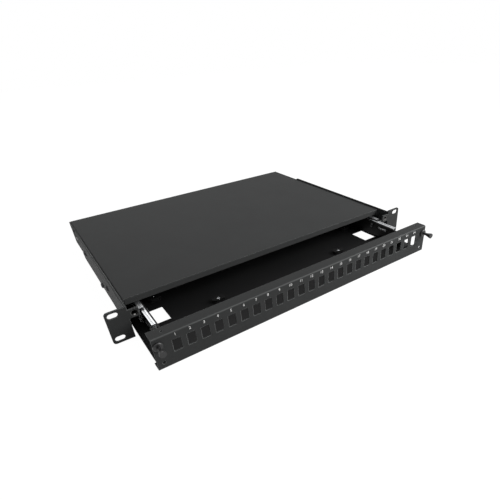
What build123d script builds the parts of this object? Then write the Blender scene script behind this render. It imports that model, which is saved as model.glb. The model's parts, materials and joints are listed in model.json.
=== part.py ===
"""Sliding fibre patch panel for a 19-inch rack: one unit high, 24 ports, on ball-bearing slides.

X runs to the right along the front, +Y back into the rack and +Z up. The origin is the centre of
the four rack slots, on the front face of the ears. Heights are named from the body's underside,
and place() sets them in that frame. The drawer is drawn out by drawer_out, its stored pose. All
sizes are in millimetres.
"""
from build123d import *
from math import cos, radians, sin
import os

# Rack mounting, to the 19-inch standard
rack_width = 482.6
rack_slot_inset = 8.75
rack_hole_pitch = 31.75
ear_width = 25.0
ear_height = 43.6
ear_sheet = 2.0
rack_slot_length = 12.0
rack_slot_width = 6.8
ear_corner = 4.0

# Body: folded chassis and the cover that drops between its walls
body_height = 39.5
body_depth = 313.0
body_setback = 23.6
sheet = 1.2
bend = 1.8
floor_setback = 16.4
cover_gap = 0.1
cover_flange = 8.0
cover_lip = 8.1
cover_tab_width = 24.0
cover_tab_inset = 26.3

# Ear brackets: the arm along the body and the tab that catches the drawer latch
arm_length = 258.0
arm_top = 41.5
arm_bottom = 0.8
arm_corner = 6.0
arm_screw_y = (95.0, 137.0, 225.0)
arm_screw_z = (22.0, 6.5, 22.0)
arm_slot_length = 14.0
arm_slot_width = 4.6
tab_bottom = 26.5
tab_top = 38.0
tab_to_slide = 0.7

# Drawer: the stored pose and the sheet it is folded from
drawer_out = 73.8
face_closed_y = -2.0
panel_side_gap = 1.3
panel_bottom = 0.5
panel_top = 42.6
panel_sheet = 1.5
panel_bend = 2.0
panel_top_flange = 15.4
panel_bottom_flange = 14.0
port_count = 24
port_end_margin = 25.6
port_width = 10.0
port_height = 15.5
port_bottom = 17.0
port_corner = 0.6
transit_hole_inset = 7.5
transit_hole_z = 8.6
transit_hole_radius = 2.0
flange_hole_inset = 14.5
flange_hole_back = 8.0
flange_hole_radius = 1.5

# Tray floor and its openings, measured back from the drawer's face
tray_side_gap = 1.9
tray_floor_bottom = 2.0
tray_sheet = 1.2
tray_rear_gap = 8.2
tray_front_gap = 0.6
tray_lip_height = 8.0
tray_lip_to_notch = 7.0
window_to_rail = 0.5
window_width = 23.5
window_length = 33.0
window_front_back = 79.3
window_rear_back = 207.2
notch_to_rail = 6.9
notch_width = 22.0
notch_length = 38.0
keyhole_to_notch = 32.0
keyhole_to_rear = 28.0
keyhole_radius = 9.0
keyhole_neck_width = 6.0
keyhole_neck_length = 19.0
bridge_to_rail = (62.9, 133.9)
bridge_back = 145.0
bridge_length = 14.0
bridge_width = 5.0
bridge_height = 3.2

# Slides: three nested members each side, centred on slide_z
slide_rear_gap = 14.2
slide_sheet = 1.0
slide_bend = 1.3
slide_z = 20.6
outer_member_y = 40.0
outer_tongue_y = 4.0
outer_tongue_height = 15.0
middle_member_lag = 3.8
inner_member_back = 44.8
inner_half_height = 7.7
inner_flange_length = 5.5
race_gap = 1.8
race_groove_depth = 0.3
ball_radius = 0.8
web_clearance = 0.3
cage_sheet = 0.6
cage_length = 56.0
ball_pitch = 40.0
ball_count = 2
inner_ball_offset = 3.5
outer_ball_offset = 4.7
middle_flange_length = 6.3
outer_flange_length = 7.9
cage_flange_length = 4.5
outer_cage_flange_length = 5.7
member_end_hole_radius = 1.8
member_end_hole_inset = 9.0
middle_member_share = 0.5

# Rails that carry the slides on the tray
rail_sheet = 1.6
rail_bend = 2.2
rail_foot = 17.0
rail_top = 26.4
rail_front_back = 20.0
rail_rear_gap = 6.0
rail_corner = 6.0
rail_screw_inset = 45.0
rail_slot_back = 67.8
rail_slot_length = 20.0
rail_slot_width = 4.5
rail_slot_drop = 1.1

# Spacers between the slides and the chassis walls
spacer_length = 9.7
spacer_inset = 20.0
spacer_radius = 4.0
spacer_shank_radius = 2.6
spacer_spigot_radius = 2.0

# Drawer latch: plunger, split grommet and the catch in the ear tab
latch_inset = 6.8
latch_z = 32.0
plunger_radius = 2.0
plunger_knob_radius = 3.8
plunger_travel = 5.0
plunger_stop_gap = 0.1
plunger_cone = 6.9
plunger_rim = 1.5
plunger_tail = 6.0
plunger_point = 0.8
grommet_flange_radius = 5.4
grommet_flange = 2.5
grommet_edge = 0.8
grommet_barrel_radius = 3.1
grommet_tail = 6.0
grommet_split = 0.8
grommet_split_length = 4.0
running_clearance = 0.08
catch_bore_clearance = 0.2
catch_wall = 0.8
catch_flange_radius = 4.9
catch_flange = 1.2
fit_clearance = 0.05

# Splice cassette on its four feet, with a stud and nut through the middle
cassette_to_spool = 6.2
cassette_depth = 100.0
cassette_height = 10.0
cassette_wall = 1.5
cassette_corner = 14.0
cassette_foot_radius = 4.0
cassette_foot_height = 3.0
cassette_foot_inset = 15.0
cassette_entry = 8.0
cassette_entry_inset = 26.0
cassette_boss_radius = 5.0
island_gap = 4.25
island_height = 6.5
comb_width = 26.0
comb_depth = 20.0
comb_height = 5.5
comb_groove = 2.0
comb_pitch = 4.0
comb_grooves = 6
lid_sheet = 1.2
lid_notch_radius = 10.0
stud_radius = 2.0
stud_top_above_lid = 5.0
nut_radius = 5.0
nut_height = 3.4

# Fibre spools
spool_to_rail = 4.9
spool_to_rear = 107.0
spool_radius = 36.0
spool_wall = 2.0
spool_height = 16.8
spool_foot_width = 13.0
spool_foot_sheet = 1.5
petal_reach = 26.0
petal_width = 24.0
petal_sheet = 1.6
petal_corner = 8.0
petal_angles = (50, 130, 230, 310)
spool_screw_offset = 28.0

# Cable-tie saddles: in from the rail, back from the face
saddle_places = ((88.4, 76.0), (21.9, 133.0))
saddle_length = 18.0
saddle_width = 9.0
saddle_corner = 4.0
saddle_height = 5.0
saddle_tunnel_width = 3.0
saddle_tunnel_height = 1.8
saddle_tunnel_x = 6.0

# Cable glands and blanking plugs in the rear wall
gland_inset = 66.3
plug_to_gland = 50.0
entry_z = 19.5
entry_hole_radius = 10.1
gland_thread_radius = 10.0
gland_bore_radius = 6.5
gland_hex = 24.0
gland_flange = 5.0
gland_neck_radius = 9.4
gland_neck = 9.0
gland_tail = 6.0
gland_cap_radius = 12.0
gland_cap_length = 15.0
gland_cap_wall = 2.0
gland_cap_gap = 0.5
gland_mouth_edge = 3.0
gland_nut = 4.0
seal_radius = 8.6
seal_bore_radius = 4.5
seal_length = 7.0
plug_head_radius = 12.5
plug_head = 2.5
plug_wall = 1.5
plug_depth = 6.0

# Fasteners: shank radius, head radius and head height
m3_screw = (1.5, 2.8, 2.0)
m4_screw = (2.0, 4.0, 2.4)
screw_hole_clearance = 0.1
cover_screw_inset = 34.2
cover_screw_drop = 4.9
panel_screw_count = 5
panel_screw_margin = 55.0
panel_screw_back = 8.0

# Places that follow from the sizes above
sides = {"left": -1, "right": 1}
rack_hole_spacing = rack_width - 2 * rack_slot_inset
body_width = rack_width - 2 * ear_width
wall_outer = body_width / 2
wall_inner = wall_outer - sheet
body_front = body_setback
body_rear = body_front + body_depth
rear_wall_outer = body_rear - sheet
rear_wall_inner = rear_wall_outer - sheet
face_y = face_closed_y - drawer_out
panel_half_width = wall_outer - panel_side_gap
port_pitch = 2 * (panel_half_width - port_end_margin) / (port_count - 1)
transit_hole_x = panel_half_width - transit_hole_inset
flange_hole_x = panel_half_width - flange_hole_inset
latch_x = wall_outer - latch_inset
panel_screw_pitch = 2 * (panel_half_width - panel_screw_margin) / (panel_screw_count - 1)
panel_screw_x = [panel_screw_pitch * (i - (panel_screw_count - 1) / 2) for i in range(panel_screw_count)]
cover_screw_y = rear_wall_inner - cover_screw_inset
cover_screw_z = body_height - cover_screw_drop
cover_tab_x = wall_outer - cover_tab_inset
gland_x = wall_outer - gland_inset
plug_x = gland_x - plug_to_gland
panel_back_y = face_y + panel_sheet
tray_top = tray_floor_bottom + tray_sheet
arm_outer = wall_outer + ear_sheet
rack_hole_z = ear_height / 2
lip_bottom = body_height - cover_lip
slide_length = rear_wall_inner - slide_rear_gap - outer_member_y
slide_depth = inner_flange_length + 4 * web_clearance + 2 * cage_sheet + 2 * slide_sheet
slide_inner_face = wall_inner - spacer_length - slide_depth
inner_flange_tip = slide_inner_face + inner_flange_length
inner_cage_web = inner_flange_tip + web_clearance
middle_web = inner_cage_web + cage_sheet + web_clearance
middle_back = middle_web + slide_sheet
outer_cage_web = middle_back + web_clearance
outer_web = outer_cage_web + cage_sheet + web_clearance
outer_back = outer_web + slide_sheet
middle_half_height = inner_half_height + race_gap + slide_sheet
outer_half_height = middle_half_height + race_gap + slide_sheet
inner_race_z = inner_half_height + race_gap / 2
outer_race_z = middle_half_height + race_gap / 2
race_groove_radius = race_gap / 2 + race_groove_depth
inner_ball_x = slide_inner_face + inner_ball_offset
outer_ball_x = slide_inner_face + outer_ball_offset
middle_member_y = outer_member_y + middle_member_lag
cage_middle_y = middle_member_y + slide_length / 2
outer_cage_share = middle_member_share / 2
inner_cage_share = (1 + middle_member_share) / 2
slide_middle_y = outer_member_y + slide_length / 2
spacer_y = (outer_member_y + spacer_inset, slide_middle_y, outer_member_y + slide_length - spacer_inset)
inner_middle_back = inner_member_back + slide_length / 2
rail_screw_back = (inner_member_back + rail_screw_inset, inner_middle_back,
                   inner_member_back + slide_length - rail_screw_inset)
plunger_neck = grommet_flange + plunger_travel + plunger_stop_gap
tab_inner_x = middle_back + tab_to_slide
rail_inner = slide_inner_face - rail_sheet
tray_half_width = wall_inner - tray_side_gap
tray_back = rear_wall_inner - tray_rear_gap - face_closed_y
rail_rear_back = tray_back - rail_rear_gap
bridge_x = [rail_inner - inset for inset in bridge_to_rail]
window_inner_x = rail_inner - window_to_rail - window_width
notch_x = rail_inner - notch_to_rail - notch_width / 2
notch_back = tray_back - notch_length
tray_lip_half_width = notch_x - notch_width / 2 - tray_lip_to_notch
keyhole_x = notch_x - notch_width / 2 - keyhole_to_notch - keyhole_radius
keyhole_back = tray_back - keyhole_to_rear
spool_x = rail_inner - spool_to_rail - spool_radius - petal_reach
spool_back = tray_back - spool_to_rear
catch_bore = grommet_barrel_radius + catch_bore_clearance
catch_barrel = catch_bore + catch_wall
petal_turn = radians(petal_angles[0])
petal_core_reach = spool_radius + petal_reach - petal_corner
petal_core_half_width = petal_width / 2 - petal_corner
petal_span = (petal_core_reach * cos(petal_turn) + petal_core_half_width * sin(petal_turn)
              + petal_corner)
cassette_bottom = tray_top + cassette_foot_height
cassette_top = cassette_bottom + cassette_height
cassette_middle_back = spool_back
cassette_width = 2 * (spool_x - petal_span - cassette_to_spool)
island_x = (cassette_boss_radius + cassette_width / 2 - cassette_wall) / 2
island_radius = island_x - cassette_boss_radius - island_gap

os.makedirs("parts", exist_ok=True)


def back(distance):
    """Y of a place on the drawer that lies this far behind its face."""
    return face_y + distance


def place(x, y, z):
    """Point at this height above the body's underside."""
    return (x, y, z - rack_hole_z)


def level(z):
    """Level plane at this height above the underside."""
    return Plane(origin=place(0, 0, z))


def upright(y):
    """Plane across the body at this depth: its x is X, its y the height, and it faces the front."""
    return Plane(origin=place(0, y, 0), x_dir=(1, 0, 0), z_dir=(0, -1, 0))


def sideways(x):
    """Plane along the body this far to the right: its x is Y, its y the height."""
    return Plane(origin=place(x, 0, 0), x_dir=(0, 1, 0), z_dir=(1, 0, 0))


def folded_section(points, thickness, radius, side):
    """Section of a folded sheet: a line along one face, its bends rounded, and the thickness."""
    with BuildLine() as outline:
        FilletPolyline(*points, radius=radius)
        offset(amount=thickness, side=side)
    make_face(outline.edges())


def finish(part, name):
    """Label a finished piece and write it."""
    part.label = name
    export_step(part, f"parts/{name}.step")


def pan_screw(size, length):
    """Screw with its head on +Z and its shank running down from the origin."""
    shank, head, height = size
    with BuildPart() as screw:
        with Locations((0, 0, -length)):
            Cylinder(shank, length, align=(Align.CENTER, Align.CENTER, Align.MIN))
        Cylinder(head, height, align=(Align.CENTER, Align.CENTER, Align.MIN))
        chamfer(screw.faces().sort_by(Axis.Z)[-1].edges(), height / 3)
    return screw.part


def screw_group(name, screw, planes):
    """Identical screws in one node, each with its seat on one of the given planes."""
    with BuildPart() as group:
        with Locations(*planes):
            add(screw)
    finish(group.part, name)


def make_chassis():
    """Bottom, two walls and a rear wall folded from one sheet."""
    wall_top = body_height
    with BuildPart() as chassis:
        with BuildSketch(upright(body_front)):
            corner = ((-wall_outer, wall_top), (-wall_outer, 0), (wall_outer, 0), (wall_outer, wall_top))
            folded_section(corner, sheet, bend, Side.LEFT)
        extrude(amount=-(rear_wall_outer - body_front))
        with BuildSketch(upright(rear_wall_inner)):
            with Locations((0, sheet)):
                Rectangle(2 * wall_inner, body_height - bend - sheet, align=(Align.CENTER, Align.MIN))
        extrude(amount=-sheet)
        with BuildSketch(level(0)):
            with Locations((0, body_front)):
                Rectangle(2 * (wall_outer - bend), floor_setback, align=(Align.CENTER, Align.MIN))
        extrude(amount=sheet, mode=Mode.SUBTRACT)
        with BuildSketch(upright(rear_wall_inner)):
            with Locations(*[(x, entry_z) for x in (-gland_x, -plug_x, plug_x, gland_x)]):
                Circle(entry_hole_radius)
            with Locations(*[(x, cover_screw_z) for x in (-cover_tab_x, 0, cover_tab_x)]):
                Circle(m3_screw[0] + fit_clearance)
        extrude(amount=-sheet, mode=Mode.SUBTRACT)
        with BuildSketch(sideways(0)):
            with Locations(*[(y, slide_z) for y in spacer_y]):
                Circle(spacer_shank_radius + fit_clearance)
            with Locations(*zip(arm_screw_y, arm_screw_z)):
                Circle(m4_screw[0] + fit_clearance)
            with Locations((cover_screw_y, cover_screw_z)):
                Circle(m3_screw[0] + screw_hole_clearance)
        extrude(amount=body_width, both=True, mode=Mode.SUBTRACT)
    finish(chassis.part, "chassis")


def make_cover():
    """Top sheet with a down-turned front lip, side flanges inside the walls and rear tabs."""
    edge = wall_inner - cover_gap
    flange_bottom = body_height - sheet - cover_flange
    with BuildPart() as cover:
        with BuildSketch(upright(body_front)):
            section = ((-edge, flange_bottom), (-edge, body_height), (edge, body_height), (edge, flange_bottom))
            folded_section(section, sheet, bend, Side.RIGHT)
        extrude(amount=-(rear_wall_outer - body_front))
        with BuildSketch(upright(rear_wall_inner - cover_gap)):
            with Locations((0, flange_bottom)):
                Rectangle(2 * edge, body_height - sheet - flange_bottom, align=(Align.CENTER, Align.MIN))
        extrude(amount=-2 * sheet, mode=Mode.SUBTRACT)
        with BuildSketch(sideways(-edge + bend)):
            lip = ((body_front, lip_bottom), (body_front, body_height), (body_front + 2 * bend, body_height))
            folded_section(lip, sheet, bend, Side.RIGHT)
        extrude(amount=2 * (edge - bend))
        with BuildSketch(sideways(-cover_tab_width / 2)):
            tab = ((rear_wall_outer - bend, body_height), (body_rear, body_height), (body_rear, flange_bottom))
            folded_section(tab, sheet, bend, Side.RIGHT)
        tabs = extrude(amount=cover_tab_width, mode=Mode.PRIVATE)
        with Locations((-cover_tab_x, 0, 0), (0, 0, 0), (cover_tab_x, 0, 0)):
            add(tabs)
        with BuildSketch(upright(rear_wall_outer)):
            with Locations(*[(x, cover_screw_z) for x in (-cover_tab_x, 0, cover_tab_x)]):
                Circle(m3_screw[0] + screw_hole_clearance)
        extrude(amount=-2 * sheet, mode=Mode.SUBTRACT)
        with BuildSketch(sideways(0)):
            with Locations((cover_screw_y, cover_screw_z)):
                Circle(m3_screw[0] + fit_clearance)
        extrude(amount=body_width, both=True, mode=Mode.SUBTRACT)
    finish(cover.part, "cover")


def make_cover_screws():
    """One screw through each wall and three through the rear tabs."""
    screw = pan_screw(m3_screw, 3 * sheet + cover_gap)
    seats = [Plane(origin=place(s * wall_outer, cover_screw_y, cover_screw_z), z_dir=(s, 0, 0))
             for s in sides.values()]
    seats += [Plane(origin=place(x, body_rear, cover_screw_z), z_dir=(0, 1, 0))
              for x in (-cover_tab_x, 0, cover_tab_x)]
    screw_group("cover_screws", screw, seats)


def make_ear_bracket(name, s):
    """Slotted rack ear with the tab for the latch, and its arm along the body."""
    with BuildPart() as bracket:
        with BuildSketch(upright(0)):
            with Locations((s * (wall_outer + ear_width / 2), rack_hole_z)):
                Rectangle(ear_width, ear_height)
            outer = vertices().group_by(Axis.X)[0 if s < 0 else -1]
            fillet(outer, ear_corner)
            with Locations((s * (tab_inner_x + arm_outer) / 2, (tab_bottom + tab_top) / 2)):
                Rectangle(arm_outer - tab_inner_x, tab_top - tab_bottom)
            with GridLocations(0, rack_hole_pitch, 1, 2):
                with Locations((s * rack_hole_spacing / 2, rack_hole_z)):
                    SlotOverall(rack_slot_length, rack_slot_width, mode=Mode.SUBTRACT)
            with Locations((s * latch_x, latch_z)):
                Circle(catch_barrel + fit_clearance, mode=Mode.SUBTRACT)
        extrude(amount=-ear_sheet)
        with BuildSketch(sideways(s * wall_outer)):
            with Locations((0, arm_bottom)):
                Rectangle(arm_length, arm_top - arm_bottom, align=Align.MIN)
            fillet(vertices().group_by(Axis.X)[-1], arm_corner)
            with Locations(*zip(arm_screw_y, arm_screw_z)):
                SlotOverall(arm_slot_length, arm_slot_width, mode=Mode.SUBTRACT)
        extrude(amount=s * ear_sheet)
    finish(bracket.part, name)


def make_ear_screws():
    """Three screws through the slots of each arm into the chassis wall."""
    screw = pan_screw(m4_screw, ear_sheet + 2 * sheet)
    seats = [Plane(origin=place(s * arm_outer, y, z), z_dir=(s, 0, 0))
             for s in sides.values() for y, z in zip(arm_screw_y, arm_screw_z)]
    screw_group("ear_screws", screw, seats)


def make_latch_catch(name, s):
    """Steel eyelet in the ear tab that the split grommet snaps behind."""
    with BuildPart() as catch:
        with BuildSketch(Plane(origin=place(s * latch_x, 0, latch_z), z_dir=(0, 1, 0))):
            Circle(catch_barrel)
            Circle(catch_bore, mode=Mode.SUBTRACT)
        extrude(amount=ear_sheet)
        with BuildSketch(Plane(origin=place(s * latch_x, ear_sheet, latch_z), z_dir=(0, 1, 0))):
            Circle(catch_flange_radius)
            Circle(catch_bore, mode=Mode.SUBTRACT)
        extrude(amount=catch_flange)
    finish(catch.part, name)


def make_front_panel():
    """Drawer face with its port openings, folded back along the top and under the tray."""
    with BuildPart() as panel:
        with BuildSketch(sideways(-panel_half_width)):
            section = ((face_y + panel_bottom_flange, panel_bottom), (face_y, panel_bottom),
                       (face_y, panel_top), (face_y + panel_top_flange, panel_top))
            folded_section(section, panel_sheet, panel_bend, Side.RIGHT)
        extrude(amount=2 * panel_half_width)
        with BuildSketch(upright(face_y)):
            with Locations((0, port_bottom + port_height / 2)):
                with GridLocations(port_pitch, 0, port_count, 1):
                    RectangleRounded(port_width, port_height, port_corner)
            with Locations(*[(s * latch_x, latch_z) for s in sides.values()]):
                Circle(grommet_barrel_radius + fit_clearance)
            with Locations(*[(s * transit_hole_x, transit_hole_z) for s in sides.values()]):
                Circle(transit_hole_radius)
        extrude(amount=-panel_sheet, mode=Mode.SUBTRACT)
        with BuildSketch(level(panel_top)):
            with Locations(*[(s * flange_hole_x, back(flange_hole_back)) for s in sides.values()]):
                Circle(flange_hole_radius)
        extrude(amount=-panel_sheet, mode=Mode.SUBTRACT)
        with BuildSketch(level(panel_bottom)):
            with Locations(*[(x, back(panel_screw_back)) for x in panel_screw_x]):
                Circle(m3_screw[0] + fit_clearance)
        extrude(amount=panel_sheet, mode=Mode.SUBTRACT)
    finish(panel.part, "front_panel")


def make_panel_screws():
    """Screws through the tray floor into the panel's lower flange."""
    screw = pan_screw(m3_screw, tray_sheet + panel_sheet)
    seats = [Plane(origin=place(x, back(panel_screw_back), tray_top)) for x in panel_screw_x]
    screw_group("panel_screws", screw, seats)


def make_latch_grommet(name, s):
    """Split nylon grommet in the panel, its flange in front and its fingers behind."""
    front = face_y - grommet_flange
    with BuildPart() as grommet:
        with BuildSketch(Plane(origin=place(s * latch_x, front, latch_z), z_dir=(0, 1, 0))):
            Circle(grommet_flange_radius)
        extrude(amount=grommet_flange)
        chamfer(grommet.faces().sort_by(Axis.Y)[0].edges(), grommet_edge)
        with BuildSketch(Plane(origin=place(s * latch_x, face_y, latch_z), z_dir=(0, 1, 0))):
            Circle(grommet_barrel_radius)
        extrude(amount=panel_sheet + grommet_tail)
        with BuildSketch(Plane(origin=place(s * latch_x, front, latch_z), z_dir=(0, 1, 0))):
            Circle(plunger_radius + running_clearance)
        extrude(amount=grommet_flange + panel_sheet + grommet_tail, mode=Mode.SUBTRACT)
        tail_end = panel_back_y + grommet_tail
        with BuildSketch(Plane(origin=place(s * latch_x, tail_end, latch_z), z_dir=(0, 1, 0))):
            Rectangle(grommet_split, 2 * grommet_flange_radius)
            Rectangle(2 * grommet_flange_radius, grommet_split)
        extrude(amount=-grommet_split_length, mode=Mode.SUBTRACT)
    finish(grommet.part, name)


def make_latch_plunger(name, s):
    """Pull knob, flared to its rim, on the pin that spreads the grommet's fingers."""
    neck_y = face_y - plunger_neck
    cone_y = neck_y - plunger_cone
    rim_y = cone_y - plunger_rim
    tip_y = panel_back_y + plunger_tail
    centre = place(s * latch_x, 0, latch_z)
    with BuildPart() as plunger:
        with BuildSketch(Plane(origin=centre)):
            with BuildLine():
                Polyline((0, rim_y), (plunger_knob_radius, rim_y), (plunger_knob_radius, cone_y),
                         (plunger_radius, neck_y), (plunger_radius, tip_y - plunger_point),
                         (plunger_radius - plunger_point, tip_y), (0, tip_y), close=True)
            make_face()
        revolve(axis=Axis(centre, (0, 1, 0)))
    finish(plunger.part, name)


def make_fibre_tray():
    """Flat floor with ventilating windows, rear cable notches, keyholes and tie bridges."""
    front = panel_back_y + tray_front_gap
    with BuildPart() as tray:
        with BuildSketch(level(tray_floor_bottom)):
            with Locations((0, front)):
                Rectangle(2 * tray_half_width, back(tray_back) - front, align=(Align.CENTER, Align.MIN))
            for s in sides.values():
                window_x = s * (window_inner_x + window_width / 2)
                with Locations(*[(window_x, back(y)) for y in (window_front_back, window_rear_back)]):
                    Rectangle(window_width, window_length, align=(Align.CENTER, Align.MIN),
                              mode=Mode.SUBTRACT)
                with Locations((s * notch_x, back(notch_back + notch_width / 2))):
                    Circle(notch_width / 2, mode=Mode.SUBTRACT)
                    Rectangle(notch_width, notch_length, align=(Align.CENTER, Align.MIN),
                              mode=Mode.SUBTRACT)
                with Locations((s * keyhole_x, back(keyhole_back))):
                    Circle(keyhole_radius, mode=Mode.SUBTRACT)
                    Rectangle(keyhole_neck_width, keyhole_neck_length, align=(Align.CENTER, Align.MIN),
                              mode=Mode.SUBTRACT)
                with Locations(*[(s * x, back(bridge_back)) for x in bridge_x]):
                    Rectangle(bridge_length - 2 * tray_sheet, bridge_width, mode=Mode.SUBTRACT)
            with Locations(*[(x, back(panel_screw_back)) for x in panel_screw_x]):
                Circle(m3_screw[0] + screw_hole_clearance, mode=Mode.SUBTRACT)
            with Locations(*saddle_points()):
                Circle(m3_screw[0] + fit_clearance, mode=Mode.SUBTRACT)
            with Locations(*spool_screw_points()):
                Circle(m3_screw[0] + fit_clearance, mode=Mode.SUBTRACT)
        extrude(amount=tray_sheet)
        with BuildSketch(level(tray_floor_bottom)):
            with Locations((0, back(tray_back) - tray_sheet)):
                Rectangle(2 * tray_lip_half_width, tray_sheet, align=(Align.CENTER, Align.MIN))
        extrude(amount=tray_lip_height)
        for x in [s * x for s in sides.values() for x in bridge_x]:
            with BuildSketch(upright(back(bridge_back) - bridge_width / 2)):
                with Locations((x, tray_top)):
                    Rectangle(bridge_length, bridge_height, align=(Align.CENTER, Align.MIN))
                    Rectangle(bridge_length - 2 * tray_sheet, bridge_height - tray_sheet,
                              align=(Align.CENTER, Align.MIN), mode=Mode.SUBTRACT)
            extrude(amount=-bridge_width)
    finish(tray.part, "fibre_tray")


def make_tray_rail(name, s):
    """Angle welded to the tray: its upright carries the slide, its foot runs under it."""
    length = rail_rear_back - rail_front_back
    with BuildPart() as rail:
        with BuildSketch(upright(back(rail_front_back))):
            angle = ((s * (rail_inner + rail_foot), tray_top), (s * rail_inner, tray_top),
                     (s * rail_inner, rail_top))
            folded_section(angle, rail_sheet, rail_bend, Side.LEFT if s < 0 else Side.RIGHT)
        extrude(amount=-length)
        fillet(rail.edges().filter_by(Axis.X).group_by(Axis.Z)[-1], rail_corner)
        with BuildSketch(sideways(s * rail_inner)):
            with Locations(*[(back(y), slide_z) for y in rail_screw_back]):
                Circle(m3_screw[0] + screw_hole_clearance)
            with Locations((back(rail_slot_back), slide_z - rail_slot_drop)):
                SlotOverall(rail_slot_length, rail_slot_width)
        extrude(amount=s * rail_sheet, mode=Mode.SUBTRACT)
    finish(rail.part, name)


def slide_member(s, web_face, flange_tip, half_height, y, races, holes, hole_radius):
    """Channel with its web's back at web_face, ball races along its flanges, and holes in its web."""
    low, high = slide_z - half_height, slide_z + half_height
    inward = 1 if flange_tip > web_face else -1
    turn = Side.RIGHT if s * inward < 0 else Side.LEFT
    ends = (y + member_end_hole_inset, y + slide_length - member_end_hole_inset)
    with BuildPart() as member:
        with BuildSketch(upright(y)):
            section = ((s * flange_tip, high), (s * web_face, high),
                       (s * web_face, low), (s * flange_tip, low))
            folded_section(section, slide_sheet, slide_bend, turn)
        extrude(amount=-slide_length)
        with BuildSketch(upright(y)):
            with Locations(*[(s * x, slide_z + z) for x, offset in races for z in (-offset, offset)]):
                Circle(race_groove_radius)
        extrude(amount=-slide_length, mode=Mode.SUBTRACT)
        with BuildSketch(sideways(s * web_face)):
            with Locations(*[(end, slide_z) for end in ends]):
                Circle(member_end_hole_radius)
            if holes:
                with Locations(*[(hole, slide_z) for hole in holes]):
                    Circle(hole_radius)
        extrude(amount=s * inward * slide_sheet, mode=Mode.SUBTRACT)
    return member.part


def make_slide(side, s):
    """Three nested members: fixed to the chassis, running between, and fixed to the drawer."""
    inner_race = (inner_ball_x, inner_race_z)
    outer_race = (outer_ball_x, outer_race_z)
    channel = slide_member(s, outer_back, outer_back - outer_flange_length, outer_half_height,
                           outer_member_y, [outer_race], spacer_y, spacer_spigot_radius + fit_clearance)
    with BuildPart() as outer:
        add(channel)
        with BuildSketch(sideways(s * outer_back)):
            with Locations((outer_tongue_y, slide_z)):
                Rectangle(outer_member_y - outer_tongue_y, outer_tongue_height,
                          align=(Align.MIN, Align.CENTER))
        extrude(amount=-s * slide_sheet)
    finish(outer.part, f"slide_outer_{side}")
    middle = slide_member(s, middle_back, middle_back - middle_flange_length, middle_half_height,
                          middle_member_y - drawer_out * middle_member_share,
                          [inner_race, outer_race], (), 0)
    finish(middle, f"slide_middle_{side}")
    inner = slide_member(s, slide_inner_face, inner_flange_tip, inner_half_height,
                         back(inner_member_back), [inner_race], [back(y) for y in rail_screw_back],
                         m3_screw[0] + fit_clearance)
    finish(inner, f"slide_inner_{side}")


def ball_places(y):
    """Depths of the balls of one row, spread evenly about y."""
    first = y - ball_pitch * (ball_count - 1) / 2
    return [first + ball_pitch * i for i in range(ball_count)]


def make_race(kind, side, s, web_x, flange_length, ball_x, race_z, travelled):
    """Ball cage of one race, and its balls, moved with the drawer by the share travelled."""
    middle_y = cage_middle_y - drawer_out * travelled
    tip = web_x + cage_sheet - flange_length
    reach = race_z + cage_sheet / 2
    with BuildPart() as cage:
        with BuildSketch(upright(middle_y - cage_length / 2)):
            with Locations((s * (tip + flange_length / 2), slide_z)):
                Rectangle(flange_length, 2 * reach)
            with Locations((s * (tip + flange_length / 2 - cage_sheet), slide_z)):
                Rectangle(flange_length, 2 * (reach - cage_sheet), mode=Mode.SUBTRACT)
        extrude(amount=-cage_length)
        with BuildSketch(level(slide_z - reach)):
            with Locations(*[(s * ball_x, y) for y in ball_places(middle_y)]):
                Circle(ball_radius + running_clearance)
        extrude(amount=2 * reach, mode=Mode.SUBTRACT)
    finish(cage.part, f"{kind}_cage_{side}")
    with BuildPart() as balls:
        with Locations(*[place(s * ball_x, y, slide_z + z) for y in ball_places(middle_y)
                         for z in (-race_z, race_z)]):
            Sphere(ball_radius)
    finish(balls.part, f"{kind}_balls_{side}")


def make_slide_spacers():
    """Round spacers riveted through the outer member and pressed into the chassis wall."""
    body_length = wall_inner - outer_back
    with BuildPart() as spacer:
        Cylinder(spacer_spigot_radius, slide_sheet, align=(Align.CENTER, Align.CENTER, Align.MAX))
        Cylinder(spacer_radius, body_length, align=(Align.CENTER, Align.CENTER, Align.MIN))
        with Locations((0, 0, body_length)):
            Cylinder(spacer_shank_radius, sheet, align=(Align.CENTER, Align.CENTER, Align.MIN))
    seats = [Plane(origin=place(s * outer_back, y, slide_z), z_dir=(s, 0, 0))
             for s in sides.values() for y in spacer_y]
    screw_group("slide_spacers", spacer.part, seats)


def make_slide_screws():
    """Screws through each rail into the slide's inner member."""
    screw = pan_screw(m3_screw, rail_sheet + 2 * slide_sheet)
    seats = [Plane(origin=place(s * rail_inner, back(y), slide_z), z_dir=(-s, 0, 0))
             for s in sides.values() for y in rail_screw_back]
    screw_group("slide_screws", screw, seats)


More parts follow.
